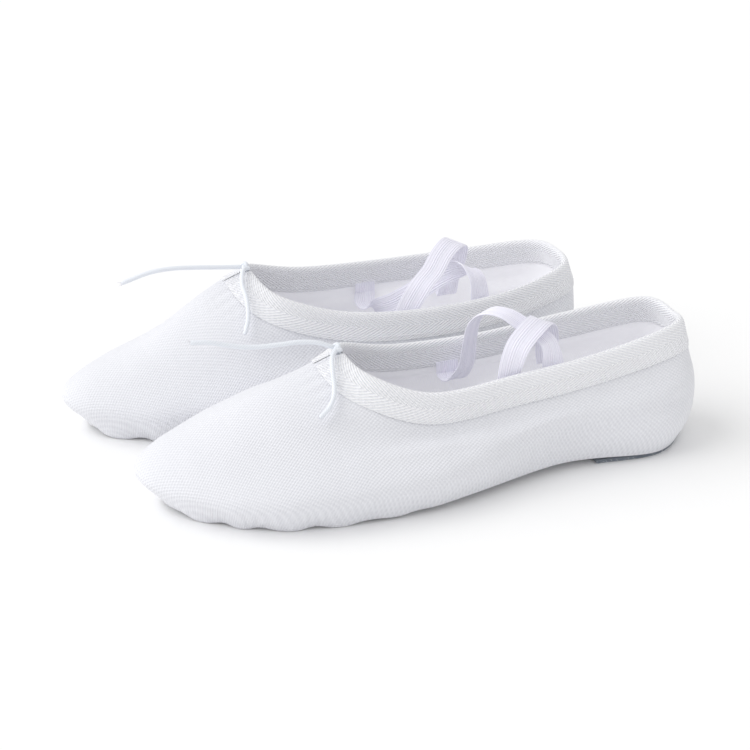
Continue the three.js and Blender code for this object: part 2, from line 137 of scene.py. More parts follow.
# The four straps: the turns that they leave and reach, and the stops between, in the same shares,
# with the direction in which the strap's width lies.
LEFT_STRAPS = {
    "a": (0.225, 0.715, [
        [0.58, 0.43, 0.455, 1, 0.1, 0], [0.587, 0.385, 0.475, 1, 0.15, 0],
        [0.595, 0.345, 0.54, 0.95, 0.3, 0], [0.6, 0.318, 0.629, 0.9, 0.4, 0],
        [0.6, 0.292, 0.738, 0.85, 0.5, 0], [0.6, 0.25, 0.859, 0.84, 0.54, 0],
        [0.602, 0.208, 0.967, 0.84, 0.54, 0], [0.61, 0.156, 1.05, 0.82, 0.57, 0],
        [0.623, 0.083, 1.095, 0.8, 0.6, 0], [0.643, -0.01, 1.09, 0.8, 0.6, 0],
        [0.667, -0.104, 1.028, 0.8, 0.55, 0.1], [0.686, -0.208, 0.984, 0.82, 0.5, 0.1],
        [0.7, -0.312, 0.924, 0.82, 0.5, 0.1]]),
    "b": (0.32, 0.757, [
        [0.753, 0.292, 0.536, 1, 0, 0], [0.743, 0.208, 0.657, 0.95, -0.2, 0],
        [0.735, 0.125, 0.812, 0.9, -0.35, 0], [0.722, 0.021, 0.933, 0.85, -0.45, 0],
        [0.702, -0.104, 1.036, 0.85, -0.5, -0.3], [0.682, -0.219, 1.053, 0.85, -0.5, -0.3],
        [0.659, -0.302, 1.019, 0.85, -0.5, -0.3], [0.635, -0.375, 0.941, 0.85, -0.4, -0.2]]),
}
RIGHT_STRAPS = {
    "a": (0.25, 0.69, [
        [0.615, 0.55, 0.455, 0.95, -0.3, -0.1], [0.632, 0.46, 0.445, 0.75, -0.5, -0.3],
        [0.655, 0.34, 0.5, 0.45, -0.6, -0.6], [0.668, 0.25, 0.565, 0.35, -0.6, -0.7],
        [0.691, 0.1, 0.68, 0.3, -0.5, -0.8], [0.714, -0.09, 0.83, 0.4, -0.5, -0.8],
        [0.735, -0.271, 0.941, 0.6, -0.4, -0.6], [0.749, -0.396, 0.976, 0.85, 0.2, -0.4],
        [0.757, -0.5, 0.916, 0.85, 0.4, 0]]),
    "b": (0.325, 0.763, [
        [0.78, 0.46, 0.467, 1, 0, 0], [0.778, 0.375, 0.622, 0.95, -0.1, 0],
        [0.778, 0.271, 0.795, 0.8, -0.3, 0], [0.773, 0.146, 0.95, 0.7, -0.5, 0],
        [0.759, 0, 1.071, 0.65, -0.6, -0.2], [0.735, -0.125, 1.11, 0.62, -0.6, -0.3],
        [0.706, -0.25, 1.076, 0.62, -0.6, -0.3], [0.673, -0.417, 1.002, 0.62, -0.6, -0.3],
        [0.641, -0.53, 0.935, 0.7, -0.5, -0.2]]),
}

# The drawcord's two free tails, in millimetres from the middle of the knot.
LEFT_TAILS = {
    "a": [
        [-2.4, 0.1, 1.1], [-8, 0.3, 3.5], [-16, 0.6, 4.8], [-24, 0.9, 4.7], [-32, 1.3, 4.7],
        [-40, 1.7, 5.6], [-46.5, 2.1, 7.2], [-53, 2.5, 9], [-59.7, 3, 9.6]],
    "b": [
        [-1.6, -2.1, 0], [-4, -5.8, -1], [-5.7, -11.7, -4], [-6.4, -16.2, -8.9], [-8, -20.1, -12.2],
        [-10.8, -23, -15], [-14.7, -25, -17.2]],
}
RIGHT_TAILS = {
    "a": [
        [-2.6, 0.1, 0.4], [-11.4, 0.3, 1.4], [-22.5, 0.8, 2.7], [-33.6, 1.5, 3.5], [-43, 2.2, 2.8],
        [-54.9, 3, -0.5]],
    "b": [
        [-1, -2.4, 0.2], [-3, -5.6, 0], [-5.2, -11.8, -3.5], [-5.6, -18.8, -7.6], [-7, -24.7, -13.8],
        [-9.6, -28.3, -19]],
}


def mount(name):
    for found in frame["record"]["mounts"]:
        if found["name"] == name:
            return Vector(found["pos_m"])
    raise ValueError(name)


# ---------------------------------------------------------------------------------------------
# Curves and the slipper's surface

def smooth(x):
    x = np.clip(x, 0, 1)
    return x * x * (3 - 2 * x)


def hermite(p1, p2, t1, t2, w):
    w = w[..., None]
    return ((2 * w**3 - 3 * w**2 + 1) * p1 + (w**3 - 2 * w**2 + w) * t1
            + (3 * w**2 - 2 * w**3) * p2 + (w**3 - w**2) * t2)


def closed_spline(points, turns):
    """Points of a closed Catmull-Rom curve at these turns."""
    points = np.asarray(points, float)
    place = (np.asarray(turns, float) % 1) * len(points)
    i = np.floor(place).astype(int)
    p0, p1, p2, p3 = (points[(i + k) % len(points)] for k in (-1, 0, 1, 2))
    return hermite(p1, p2, (p2 - p0) / 2, (p3 - p1) / 2, place - i)


def open_spline(points, shares, centripetal=True):
    """Points of an open Catmull-Rom curve. points may hold many curves, as (..., count, 3)."""
    points = np.asarray(points, float)
    first = 2 * points[..., :1, :] - points[..., 1:2, :]
    last = 2 * points[..., -1:, :] - points[..., -2:-1, :]
    ends = np.concatenate([first, points, last], axis=-2)
    spans = points.shape[-2] - 1
    place = np.clip(np.asarray(shares, float), 0, 1) * spans
    i = np.minimum(np.floor(place).astype(int), spans - 1)
    p0, p1, p2, p3 = (ends[..., i + k, :] for k in range(4))
    if not centripetal:
        return hermite(p1, p2, (p2 - p0) / 2, (p3 - p1) / 2, place - i)
    d0, d1, d2 = (np.sqrt(np.linalg.norm(b - a, axis=-1))[..., None]
                  for a, b in ((p0, p1), (p1, p2), (p2, p3)))
    t1 = ((p1 - p0) / d0 - (p2 - p0) / (d0 + d1) + (p2 - p1) / d1) * d1
    t2 = ((p2 - p1) / d1 - (p3 - p1) / (d1 + d2) + (p3 - p2) / d2) * d1
    return hermite(p1, p2, t1, t2, place - i + np.zeros(p1.shape[:-1]))


def unit(v):
    return v / np.maximum(np.linalg.norm(v, axis=-1, keepdims=True), 1e-12)


class UpperShape:
    """The outer face of one slipper's canvas."""

    def __init__(self, rim_rows, inner_side):
        self.inner_side = inner_side
        collar = (np.array(rim_rows) + np.array(COLLAR_DROP)).tolist()
        self.loops = [self.loop(SOLE_EDGE, True), self.loop(WIDEST_LINE, True),
                      self.loop(INSTEP_LINE), self.loop(collar), self.loop(rim_rows)]

    def place(self, rows):
        rows = np.array(rows, float)[..., :3]
        size = np.array([SLIPPER_LENGTH, BALL_WIDTH / 2, UPPER_HEIGHT])
        return rows * size + np.array([0, 0, BOTTOM_HEIGHT])

    def loop(self, rows, narrower=False):
        there = self.place(rows)
        back = there[-2:0:-1] * np.array([1, -1, 1])
        points = np.concatenate([there, back])
        if narrower:
            inner = points[:, 1] * self.inner_side > 0
            points[inner, 1] *= INNER_SIDE_SHARE
        return points

    def walls(self, turns):
        """The wall at each turn from the sole edge to the rim, and the distance along it."""
        guides = np.stack([closed_spline(loop, turns) for loop in self.loops], axis=-2)
        samples = open_spline(guides, np.linspace(0, 1, 49))
        steps = np.linalg.norm(np.diff(samples, axis=-2), axis=-1)
        return samples, np.concatenate([np.zeros((len(turns), 1)), np.cumsum(steps, -1)], -1)

    def heights(self, turns):
        return self.walls(np.asarray(turns, float))[1][:, -1]

    def on(self, turns, below):
        """Points at each turn, at each of its row of distances below the rim."""
        turns = np.asarray(turns, float)
        below = np.broadcast_to(below, (len(turns), np.shape(below)[-1]))
        samples, lengths = self.walls(turns)
        result = np.empty(below.shape + (3,))
        for k in range(len(turns)):
            along = lengths[k, -1] - below[k]
            i = np.clip(np.searchsorted(lengths[k], along, "right"), 1, len(lengths[k]) - 1)
            share = (along - lengths[k, i - 1]) / (lengths[k, i] - lengths[k, i - 1])
            result[k] = samples[k, i - 1] + share[:, None] * (samples[k, i] - samples[k, i - 1])
        return result

    def out(self, turns, below):
        """The wall's outward normals."""
        step, nudge = 0.5 * MM, 0.002
        turns = np.asarray(turns, float)
        below = np.broadcast_to(below, (len(turns), np.shape(below)[-1]))
        up = self.on(turns, below - step) - self.on(turns, below + step)
        along = self.on(turns + nudge, below) - self.on(turns - nudge, below)
        return unit(np.cross(unit(up), unit(along)))

    def off(self, turns, below, out):
        """Points moved outwards, or inwards where out is below zero."""
        return self.on(turns, below) + self.out(turns, below) * np.asarray(out)[..., None]

    def bottom(self, turns, shares):
        """The underside, from its middle line at share 0 to the sole edge at share 1."""
        turns = np.asarray(turns, float)
        swing = (1 - np.cos(2 * np.pi * turns)) / 2
        arch = np.sin(2 * np.pi * turns) ** 2
        rows = np.stack([SPINE_FRONT + (SPINE_BACK - SPINE_FRONT) * swing, 0 * turns,
                         ARCH_RISE * arch], -1)
        spine = self.place(rows)[:, None]
        edge = closed_spline(self.loops[0], turns)[:, None]
        shares = np.broadcast_to(shares, (len(turns), np.shape(shares)[-1]))[..., None]
        return spine + (edge - spine) * shares

    def turn_at_throat(self, distance):
        rim = self.on([0, 0.01], [0.0])[:, 0]
        return 0.01 * distance / np.linalg.norm(rim[1] - rim[0])

    def knot(self):
        """The middle of the drawcord's knot."""
        out = CASING_MIDDLE + CORD_RADIUS + CLEARANCE + KNOT_RADIUS
        return self.off([0], [CASING_HEIGHT], [out])[0, 0]


# ---------------------------------------------------------------------------------------------
# Meshes

def arc(points, axis=0):
    """Distance along rows of points."""
    steps = np.linalg.norm(np.diff(points, axis=axis), axis=-1)
    zero = np.zeros_like(np.take(steps, [0], axis=axis))
    return np.concatenate([zero, np.cumsum(steps, axis=axis)], axis=axis)


def grid_mesh(name, points, uv, closed_path=False, closed_ring=True, caps=False, material=None):
    """A surface through rings of points, with uv rows to match, one longer where it closes."""
    n, m = points.shape[:2]
    rows = n if closed_path else n - 1
    cols = m if closed_ring else m - 1
    i, j = np.meshgrid(np.arange(rows), np.arange(cols), indexing="ij")
    corners = [(i, j), (i + 1, j), (i + 1, j + 1), (i, j + 1)]
    faces = np.stack([(a % n) * m + b % m for a, b in corners], -1).reshape(-1, 4)
    loops_uv = np.stack([uv[a, b] for a, b in corners], -2).reshape(-1, 2)
    faces = faces.tolist()
    if caps:
        faces.append(list(range(m)))
        faces.append([(n - 1) * m + k for k in reversed(range(m))])
        loops_uv = np.concatenate([loops_uv, uv[0, :m], uv[-1, :m][::-1]])
    mesh = bpy.data.meshes.new(name)
    mesh.from_pydata(points.reshape(-1, 3).tolist(), [], faces)
    layer = mesh.uv_layers.new(name="UVMap")
    layer.data.foreach_set("uv", loops_uv.astype(np.float32).ravel())
    piece = bpy.data.objects.new(name, mesh)
    bpy.context.scene.collection.objects.link(piece)
    finish_mesh(piece, material)
    return piece


def only(piece):
    bpy.ops.object.select_all(action="DESELECT")
    piece.select_set(True)
    bpy.context.view_layer.objects.active = piece


def finish_mesh(piece, material, angle=40):
    """Merged, with its faces turned outwards and shaded smooth up to the angle."""
    only(piece)
    bpy.ops.object.mode_set(mode="EDIT")
    bpy.ops.mesh.select_all(action="SELECT")
    bpy.ops.mesh.remove_doubles(threshold=0.01 * MM)
    bpy.ops.mesh.normals_make_consistent(inside=False)
    bpy.ops.object.mode_set(mode="OBJECT")
    bpy.ops.object.shade_smooth_by_angle(angle=math.radians(angle))
    if material:
        piece.data.materials.clear()
        piece.data.materials.append(material)


def frames(path):
    """Tangents and two cross directions that turn as little as they can along a path."""
    tangent = unit(np.gradient(path, axis=0))
    side = np.empty_like(tangent)
    start = np.array([0, 0, 1.0]) if abs(tangent[0, 2]) < 0.8 else np.array([1.0, 0, 0])
    side[0] = unit(np.cross(tangent[0], start))
    for k in range(1, len(path)):
        side[k] = unit(side[k - 1] - tangent[k] * (side[k - 1] @ tangent[k]))
    return tangent, side, np.cross(tangent, side)


def tube(name, path, radius, sides=12, material=None):
    """A round tube along a path, with closed rounded ends. radius may differ along it."""
    path = np.asarray(path, float)
    radius = np.broadcast_to(radius, len(path)).astype(float)
    tangent, side, other = frames(path)
    lead = np.array([[-1.0, 0.05], [-0.75, 0.66]])
    before = [(path[0] + tangent[0] * radius[0] * a, radius[0] * b) for a, b in lead]
    after = [(path[-1] - tangent[-1] * radius[-1] * a, radius[-1] * b) for a, b in lead[::-1]]
    centres = np.array([c for c, r in before] + list(path) + [c for c, r in after])
    radii = np.array([r for c, r in before] + list(radius) + [r for c, r in after])
    grow = lambda rows: np.concatenate([rows[:1], rows[:1], rows, rows[-1:], rows[-1:]])
    angle = np.linspace(0, 2 * np.pi, sides + 1)
    ring = (grow(side)[:, None] * np.cos(angle)[:, None]
            + grow(other)[:, None] * np.sin(angle)[:, None])
    points = centres[:, None] + ring * radii[:, None, None]
    u = arc(centres)[:, None] + 0 * angle
    v = radii.mean() * angle + 0 * u
    return grid_mesh(name, points[:, :-1], np.stack([u, v], -1), caps=True, material=material)


def wobble(points, scale, seed):
    """Smooth noise from -1 to 1 at each point, with features of this size."""
    flat = (points / scale).reshape(-1, 3)
    shift = Vector((seed * 7.13, seed * 3.71, seed * 5.37))
    return np.array([noise.noise(Vector(p) + shift) for p in flat]).reshape(points.shape[:-1])


def copies(name, model, places, material):
    """One mesh of many copies of a small model, each set by a matrix."""
    verts, faces = model
    verts = np.array(verts, float)
    points = []
    for place in places:
        points.append(verts @ np.array(place.to_3x3()).T + np.array(place.translation))
    n = len(verts)
    all_faces = [[k + c * n for k in face] for c in range(len(places)) for face in faces]
    mesh = bpy.data.meshes.new(name)
    mesh.from_pydata(np.concatenate(points).tolist(), [], all_faces)
    mesh.uv_layers.new(name="UVMap")
    piece = bpy.data.objects.new(name, mesh)
    bpy.context.scene.collection.objects.link(piece)
    only(piece)
    bpy.ops.object.shade_smooth()
    piece.data.materials.append(material)
    return piece


def stitch_model(length, thickness):
    """A thread's short run: a flat capsule along x."""
    bpy.ops.object.select_all(action="DESELECT")
    bpy.ops.mesh.primitive_uv_sphere_add(segments=8, ring_count=6, radius=0.5, location=(0, 0, 0))
    ball = bpy.context.object
    verts = [(v.co.z * length, v.co.x * thickness, v.co.y * thickness * 0.8)
             for v in ball.data.vertices]
    faces = [list(p.vertices)[::-1] for p in ball.data.polygons]
    bpy.data.objects.remove(ball, do_unlink=True)
    return verts, faces


def basis(x, z, at):
    """A matrix whose x and z run along these directions."""
    x = unit(np.array(x))
    z = unit(np.array(z) - x * (np.array(z) @ x))
    y = np.cross(z, x)
    rows = np.stack([x, y, z], 1)
    return Matrix([list(rows[k]) + [float(at[k])] for k in range(3)] + [[0, 0, 0, 1]])


# ---------------------------------------------------------------------------------------------
# Materials

def group(name, inputs, outputs, build):
    tree = bpy.data.node_groups.new(name, "ShaderNodeTree")
    for label, value in inputs:
        kind = "NodeSocketVector" if label == "Vector" else "NodeSocketFloat"
        socket = tree.interface.new_socket(label, in_out="INPUT", socket_type=kind)
        if value is not None:
            socket.default_value = value
    for label in outputs:
        tree.interface.new_socket(label, in_out="OUTPUT", socket_type="NodeSocketFloat")
    start = tree.nodes.new("NodeGroupInput")
    end = tree.nodes.new("NodeGroupOutput")
    build(tree, start, end)
    return tree


def math_node(tree, operation, *values):
    node = tree.nodes.new("ShaderNodeMath")
    node.operation = operation
    for k, value in enumerate(values):
        if isinstance(value, (int, float)):
            node.inputs[k].default_value = value
        else:
            tree.links.new(value, node.inputs[k])
    return node.outputs[0]


def plain_weave(tree, start, end):
    """Over and under threads of one pitch, with thicker and thinner places along them."""
    vector = start.outputs["Vector"]
    parts = tree.nodes.new("ShaderNodeSeparateXYZ")
    tree.links.new(vector, parts.inputs[0])
    turn = math_node(tree, "DIVIDE", math.pi, start.outputs["Pitch"])
    waves = [math_node(tree, "SINE", math_node(tree, "MULTIPLY", parts.outputs[axis], turn))
             for axis in ("X", "Y")]
    cross = math_node(tree, "MULTIPLY", waves[0], waves[1])
    height = math_node(tree, "ADD", math_node(tree, "MULTIPLY", cross, 0.5), 0.5)
    tree.links.new(height, end.inputs["Height"])
    slubs = []
    for stretched in ((60, 900, 1), (900, 60, 1)):
        slub = tree.nodes.new("ShaderNodeTexNoise")
        slub.inputs["Scale"].default_value = 1
        slub.inputs["Detail"].default_value = 2
        stretch = tree.nodes.new("ShaderNodeVectorMath")
        stretch.operation = "MULTIPLY"
        stretch.inputs[1].default_value = stretched
        tree.links.new(vector, stretch.inputs[0])
        tree.links.new(stretch.outputs[0], slub.inputs["Vector"])
        slubs.append(slub.outputs[0])
    uneven = math_node(tree, "MULTIPLY", math_node(tree, "ADD", *slubs), 0.5)
    shade = math_node(tree, "ADD", math_node(tree, "MULTIPLY", height, 0.6),
                      math_node(tree, "MULTIPLY", uneven, 0.4))
    tree.links.new(shade, end.inputs["Shade"])


def twill_ribs(tree, start, end):
    """Diagonal ribs across a tape, turned back at each column's edge, of short thread floats."""
    parts = tree.nodes.new("ShaderNodeSeparateXYZ")
    tree.links.new(start.outputs["Vector"], parts.inputs[0])
    across = math_node(tree, "PINGPONG", parts.outputs["Y"], start.outputs["Column"])
    slant = math_node(tree, "ADD", parts.outputs["X"],
                      math_node(tree, "MULTIPLY", across, start.outputs["Slope"]))
    turn = math_node(tree, "DIVIDE", 2 * math.pi, start.outputs["Pitch"])
    rib = math_node(tree, "SINE", math_node(tree, "MULTIPLY", slant, turn))
    fine_turn = math_node(tree, "MULTIPLY", turn, 2.3)
    fine = math_node(tree, "SINE", math_node(tree, "MULTIPLY", parts.outputs["Y"], fine_turn))
    height = math_node(tree, "ADD", math_node(tree, "MULTIPLY", rib, 0.42),
                       math_node(tree, "MULTIPLY", fine, 0.08))
    height = math_node(tree, "ADD", height, 0.5)
    tree.links.new(height, end.inputs["Height"])
    fuzz = tree.nodes.new("ShaderNodeTexNoise")
    fuzz.inputs["Scale"].default_value = 900
    tree.links.new(start.outputs["Vector"], fuzz.inputs["Vector"])
    shade = math_node(tree, "ADD", math_node(tree, "MULTIPLY", height, 0.7),
                      math_node(tree, "MULTIPLY", fuzz.outputs[0], 0.3))
    tree.links.new(shade, end.inputs["Shade"])


WEAVE = group("plain weave", [("Vector", None), ("Pitch", 0.001)], ["Height", "Shade"], plain_weave)
RIBS = group("twill ribs", [("Vector", None), ("Pitch", 0.0013), ("Slope", 0.8), ("Column", 0.1)],
             ["Height", "Shade"], twill_ribs)


def cloth(name, pattern, dark, light, values, bump, roughness=0.9, sheen=0.25, coords="UV",
          painted_glow=0.0):
    """A woven cloth: the pattern's shade sets its colour, its height the bump. Its emission is painted
    light: thin white cloth glows at a set strength, which lightens its shaded faces and the slipper's
    inside as no lamp does."""
    material = bpy.data.materials.new(name)
    material.use_nodes = True
    tree = material.node_tree
    shader = tree.nodes["Principled BSDF"]
    place = tree.nodes.new("ShaderNodeTexCoord")
    weave = tree.nodes.new("ShaderNodeGroup")
    weave.node_tree = pattern
    for label, value in values.items():
        weave.inputs[label].default_value = value
    tree.links.new(place.outputs[coords], weave.inputs["Vector"])
    colour = tree.nodes.new("ShaderNodeMix")
    colour.data_type = "RGBA"
    colour.inputs["A"].default_value = (*dark, 1)
    colour.inputs["B"].default_value = (*light, 1)
    tree.links.new(weave.outputs["Shade"], colour.inputs["Factor"])
    tree.links.new(colour.outputs["Result"], shader.inputs["Base Color"])
    relief = tree.nodes.new("ShaderNodeBump")
    relief.inputs["Strength"].default_value = 1
    relief.inputs["Distance"].default_value = bump
    tree.links.new(weave.outputs["Height"], relief.inputs["Height"])
    tree.links.new(relief.outputs[0], shader.inputs["Normal"])
    rough = tree.nodes.new("ShaderNodeMapRange")
    rough.inputs["To Min"].default_value = roughness
    rough.inputs["To Max"].default_value = roughness - 0.12
    tree.links.new(weave.outputs["Height"], rough.inputs["Value"])
    tree.links.new(rough.outputs[0], shader.inputs["Roughness"])
    shader.inputs["Specular IOR Level"].default_value = 0.25
    shader.inputs["Sheen Weight"].default_value = sheen
    shader.inputs["Sheen Roughness"].default_value = 0.6
    # Painted light: the cloth glows at the strength set below, however the lamps light it.
    shader.inputs["Emission Color"].default_value = (0.97, 0.96, 1, 1)
    shader.inputs["Emission Strength"].default_value = painted_glow
    return material


def napped(name, dark, light, grain, bump, roughness=0.95):
    """A napped or felted surface: soft mottling and fine short fibres."""
    material = bpy.data.materials.new(name)
    material.use_nodes = True
    tree = material.node_tree
    shader = tree.nodes["Principled BSDF"]
    place = tree.nodes.new("ShaderNodeTexCoord")
    layers = []
    for scale, detail in ((grain, 3), (grain * 0.08, 2)):
        texture = tree.nodes.new("ShaderNodeTexNoise")
        texture.inputs["Scale"].default_value = scale
        texture.inputs["Detail"].default_value = detail
        tree.links.new(place.outputs["Object"], texture.inputs["Vector"])
        layers.append(texture.outputs[0])
    mixed = math_node(tree, "ADD", math_node(tree, "MULTIPLY", layers[0], 0.6),
                      math_node(tree, "MULTIPLY", layers[1], 0.4))
    spread = tree.nodes.new("ShaderNodeMapRange")
    spread.inputs["From Min"].default_value = 0.3
    spread.inputs["From Max"].default_value = 0.7
    tree.links.new(mixed, spread.inputs["Value"])
    colour = tree.nodes.new("ShaderNodeMix")
    colour.data_type = "RGBA"
    colour.inputs["A"].default_value = (*dark, 1)
    colour.inputs["B"].default_value = (*light, 1)
    tree.links.new(spread.outputs[0], colour.inputs["Factor"])
    tree.links.new(colour.outputs["Result"], shader.inputs["Base Color"])
    relief = tree.nodes.new("ShaderNodeBump")
    relief.inputs["Distance"].default_value = bump
    tree.links.new(layers[0], relief.inputs["Height"])
    tree.links.new(relief.outputs[0], shader.inputs["Normal"])
    shader.inputs["Roughness"].default_value = roughness
    shader.inputs["Sheen Weight"].default_value = 0.35
    shader.inputs["Sheen Roughness"].default_value = 0.7
    return material


CANVAS = cloth("canvas", WEAVE, (0.71, 0.715, 0.76), (0.89, 0.895, 0.935), {"Pitch": 1.0 * MM},
               0.24 * MM)
# The lining, binding and elastic are given a painted glow: emission that lightens their shaded faces
# and the slipper's inside.
LINING = cloth("lining", WEAVE, (0.84, 0.84, 0.87), (0.91, 0.91, 0.93), {"Pitch": 0.6 * MM},
               0.04 * MM, painted_glow=0.13)
BINDING = cloth("binding", RIBS, (0.74, 0.75, 0.80), (0.985, 0.985, 0.995),
                {"Pitch": 2.3 * MM, "Slope": 1.9, "Column": 6.5 * MM}, 0.35 * MM, painted_glow=0.05)
ELASTIC = cloth("elastic", RIBS, (0.74, 0.73, 0.84), (0.89, 0.88, 0.96),
                {"Pitch": 0.9 * MM, "Slope": 0.0}, 0.12 * MM, roughness=0.6, sheen=0.15, painted_glow=0.06)
CORD = cloth("cord", RIBS, (0.76, 0.80, 0.87), (0.89, 0.91, 0.95),
             {"Pitch": 1.1 * MM, "Slope": 0.9}, 0.06 * MM, roughness=0.55, sheen=0.15)
TAPE = cloth("tape", RIBS, (0.80, 0.80, 0.84), (0.90, 0.90, 0.93),
             {"Pitch": 1.0 * MM, "Slope": 1.0}, 0.1 * MM)
INSOLE = cloth("insole", WEAVE, (0.78, 0.77, 0.77), (0.86, 0.85, 0.84), {"Pitch": 0.7 * MM},
               0.06 * MM)
THREAD = cloth("thread", RIBS, (0.80, 0.80, 0.85), (0.92, 0.92, 0.95),
               {"Pitch": 0.4 * MM, "Slope": 1.0}, 0.04 * MM, roughness=0.7, coords="Object")
CORE = napped("cord core", (0.36, 0.37, 0.41), (0.55, 0.56, 0.60), 2500, 0.05 * MM)
SUEDE = napped("suede", (0.12, 0.145, 0.185), (0.24, 0.27, 0.31), 1800, 0.15 * MM)


# ---------------------------------------------------------------------------------------------
# Pieces of one slipper

def even_turns(count):
    return np.arange(count) / count


def uv_of(points, closed=True):
    """Distances round, from the toe both ways to the back seam, and down the rows."""
    ring = np.concatenate([points, points[:1]]) if closed else points
    down = arc(ring, axis=1)
    round_way = arc(ring, axis=0)
    return np.stack([round_way, down], -1)


def round_heel(shape, turns):
    """How much further the cloth runs round the heel than its place along the slipper says, how
    far its middle height has moved across, and the side: 1 or -1."""
    middle = shape.on(turns, [25 * MM])[:, 0]
    step = np.diff(middle, axis=0)
    extra = np.concatenate([[0], np.cumsum(np.hypot(step[:, 0], step[:, 1]) - np.abs(step[:, 0]))])
    side = np.where(turns <= 0.5, 1, -1)
    ball = np.where(side > 0, 0.25, 0.75)
    behind = (np.abs(turns - 0.5) < 0.25).astype(float)
    further = behind * side * (extra - np.interp(ball, turns, extra))
    across = behind * (middle[:, 1] - np.interp(ball, turns, middle[:, 1]))
    return further[:, None], across[:, None], side[:, None]


def woven_uv(shape, points):
    """Where each point lies on the flat cloth: along the slipper, and across from its crest."""
    ring = np.concatenate([points, points[:1]])
    x, y, z = ring[..., 0], ring[..., 1], ring[..., 2]
    crest = shape.on([0], shape.heights([0])[0] * (1 - np.linspace(0, 1, 80)))[0]
    crest = crest[np.argmin(crest[:, 0]):]
    drop = np.interp(x, crest[:, 0], crest[:, 2]) - z
    toe = smooth(1 - x / (0.2 * SLIPPER_LENGTH))
    further, across, side = round_heel(shape, np.linspace(0, 1, len(ring)))
    return np.stack([x + further - 0.5 * toe * drop, y - across + 0.85 * side * drop], -1)


def throat_pull(shape, turns, below):
    """How strongly the cord gathers the canvas: 1 at the throat's middle, 0 a little way off."""
    reach = shape.turn_at_throat(THROAT_REACH)
    off = np.abs((np.asarray(turns) + 0.5) % 1 - 0.5)[:, None] / reach
    return (1 - smooth(off)) * (1 - smooth(below / (30 * MM)))


def calm_share(heights, below):
    """1 over the middle of the wall, fading to 0 under the binding and at the sole edge."""
    return smooth((below - 8 * MM) / (14 * MM)) * smooth((heights[:, None] - below) / (6 * MM))


def soft_dips(shape, turns, heights, below):
    """Shallow hollows, where the empty canvas and its lining have sunk in together."""
    girth = shape_girth(shape)
    from_edge = heights[:, None] - below
    total = np.zeros(from_edge.shape)
    for turn, height, depth, wide in CLOTH_DIPS:
        off = (turns - turn)[:, None] * girth / (wide * MM)
        total -= depth * MM * np.exp(-off**2 - ((from_edge / MM - height) / (0.55 * wide)) ** 2)
    return total * calm_share(heights, below)


def pleat_wave(distance, edge, seed):
    """Uneven waves along the gathered sole edge, from -1 to 1."""
    drift = 2.6 * wobble(edge, 45 * MM, seed) + 1.1 * wobble(edge, 17 * MM, seed + 6)
    return np.sin(2 * np.pi * distance / PLEAT_PERIOD + drift)


def canvas_relief(shape, turns, below, heights, points, seed):
    """How far the canvas stands off its smooth face: pleats, gathers and soft dents."""
    distance = arc(points[:, -1])
    from_edge = heights[:, None] - below
    off_toe = np.abs((turns + 0.5) % 1 - 0.5)[:, None]
    toe = 1 - smooth((off_toe - 0.17) / 0.08)
    strength = 0.65 + 0.5 * wobble(points[:, -1], 50 * MM, seed + 9)[:, None]
    wave = pleat_wave(distance, points[:, -1], seed)[:, None]
    pleats = PLEAT_DEPTH * strength * wave * np.exp(-(from_edge / (9 * MM)) ** 1.5) * toe
    pull = throat_pull(shape, turns, below)
    rim_distance = arc(points[:, 0])[:, None]
    gathers = 0.35 * MM * pull * np.sin(2 * np.pi * rim_distance / GATHER_PERIOD)
    dents = 0.9 * wobble(points, 34 * MM, seed + 1) + 0.35 * wobble(points, 15 * MM, seed + 2)
    dents *= 0.75 * MM * calm_share(heights, below)
    return pleats + gathers + dents + soft_dips(shape, turns, heights, below)


def canvas_upper(side, shape, seed):
    count, wall_rows, inner_rows = 560, 96, 24
    turns = even_turns(count)
    heights = shape.heights(turns)
    below = heights[:, None] * (1 - np.linspace(0, 1, wall_rows) ** 1.15)
    outer = shape.on(turns, below)
    relief = canvas_relief(shape, turns, below[:, ::-1], heights, outer[:, ::-1], seed)[:, ::-1]
    seam = np.exp(-(((turns - 0.5) * shape_girth(shape)) / (1.2 * MM)) ** 2)
    relief = relief + (0.45 * MM * seam)[:, None] * smooth((below - 9 * MM) / (3 * MM))
    outer = shape.off(turns, below, relief)
    droop = edge_droop(turns, outer[:, 0], seed)
    near_edge = np.exp(-((heights[:, None] - below) / (6 * MM)) ** 2)
    outer[..., 2] = np.maximum(outer[..., 2] - near_edge * droop[:, None], 0.25 * MM)
    inner_below = heights[:, None] - CANVAS_THICKNESS - (
        heights[:, None] - CANVAS_THICKNESS) * np.linspace(0, 1, inner_rows)
    inner_dips = soft_dips(shape, turns, heights, inner_below)
    inner = shape.off(turns, inner_below, inner_dips - CANVAS_THICKNESS)
    shares = np.linspace(0, 1, 8)[:-1]
    under = shape.bottom(turns, shares)
    under[:, -1] = 0.5 * (under[:, -2] + outer[:, 0])
    floor = shape.bottom(turns, np.linspace(0, 1, 4)[:-1])
    floor[..., 2] += CANVAS_THICKNESS
    rings = np.concatenate([under, outer, inner[:, ::-1], floor[:, ::-1]], axis=1)
    piece = grid_mesh(side + "_canvas", rings, woven_uv(shape, rings), closed_path=True,
                      closed_ring=False, material=CANVAS)
    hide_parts(side + "_canvas_upper")
    return piece


def shape_girth(shape):
    """The length all the way round, a little below the binding."""
    rim = shape.on(even_turns(120), [12 * MM])[:, 0]
    return float(arc(np.concatenate([rim, rim[:1]]))[-1])


def edge_droop(turns, edge, seed):
    """How far the gathered edge hangs under the smooth sole edge, towards the floor."""
    off_toe = np.abs((turns + 0.5) % 1 - 0.5)
    front = 1 - smooth((off_toe - 0.21) / 0.07)
    wave = pleat_wave(arc(edge), edge, seed)
    return front * (1.5 + 0.4 * wave) * MM


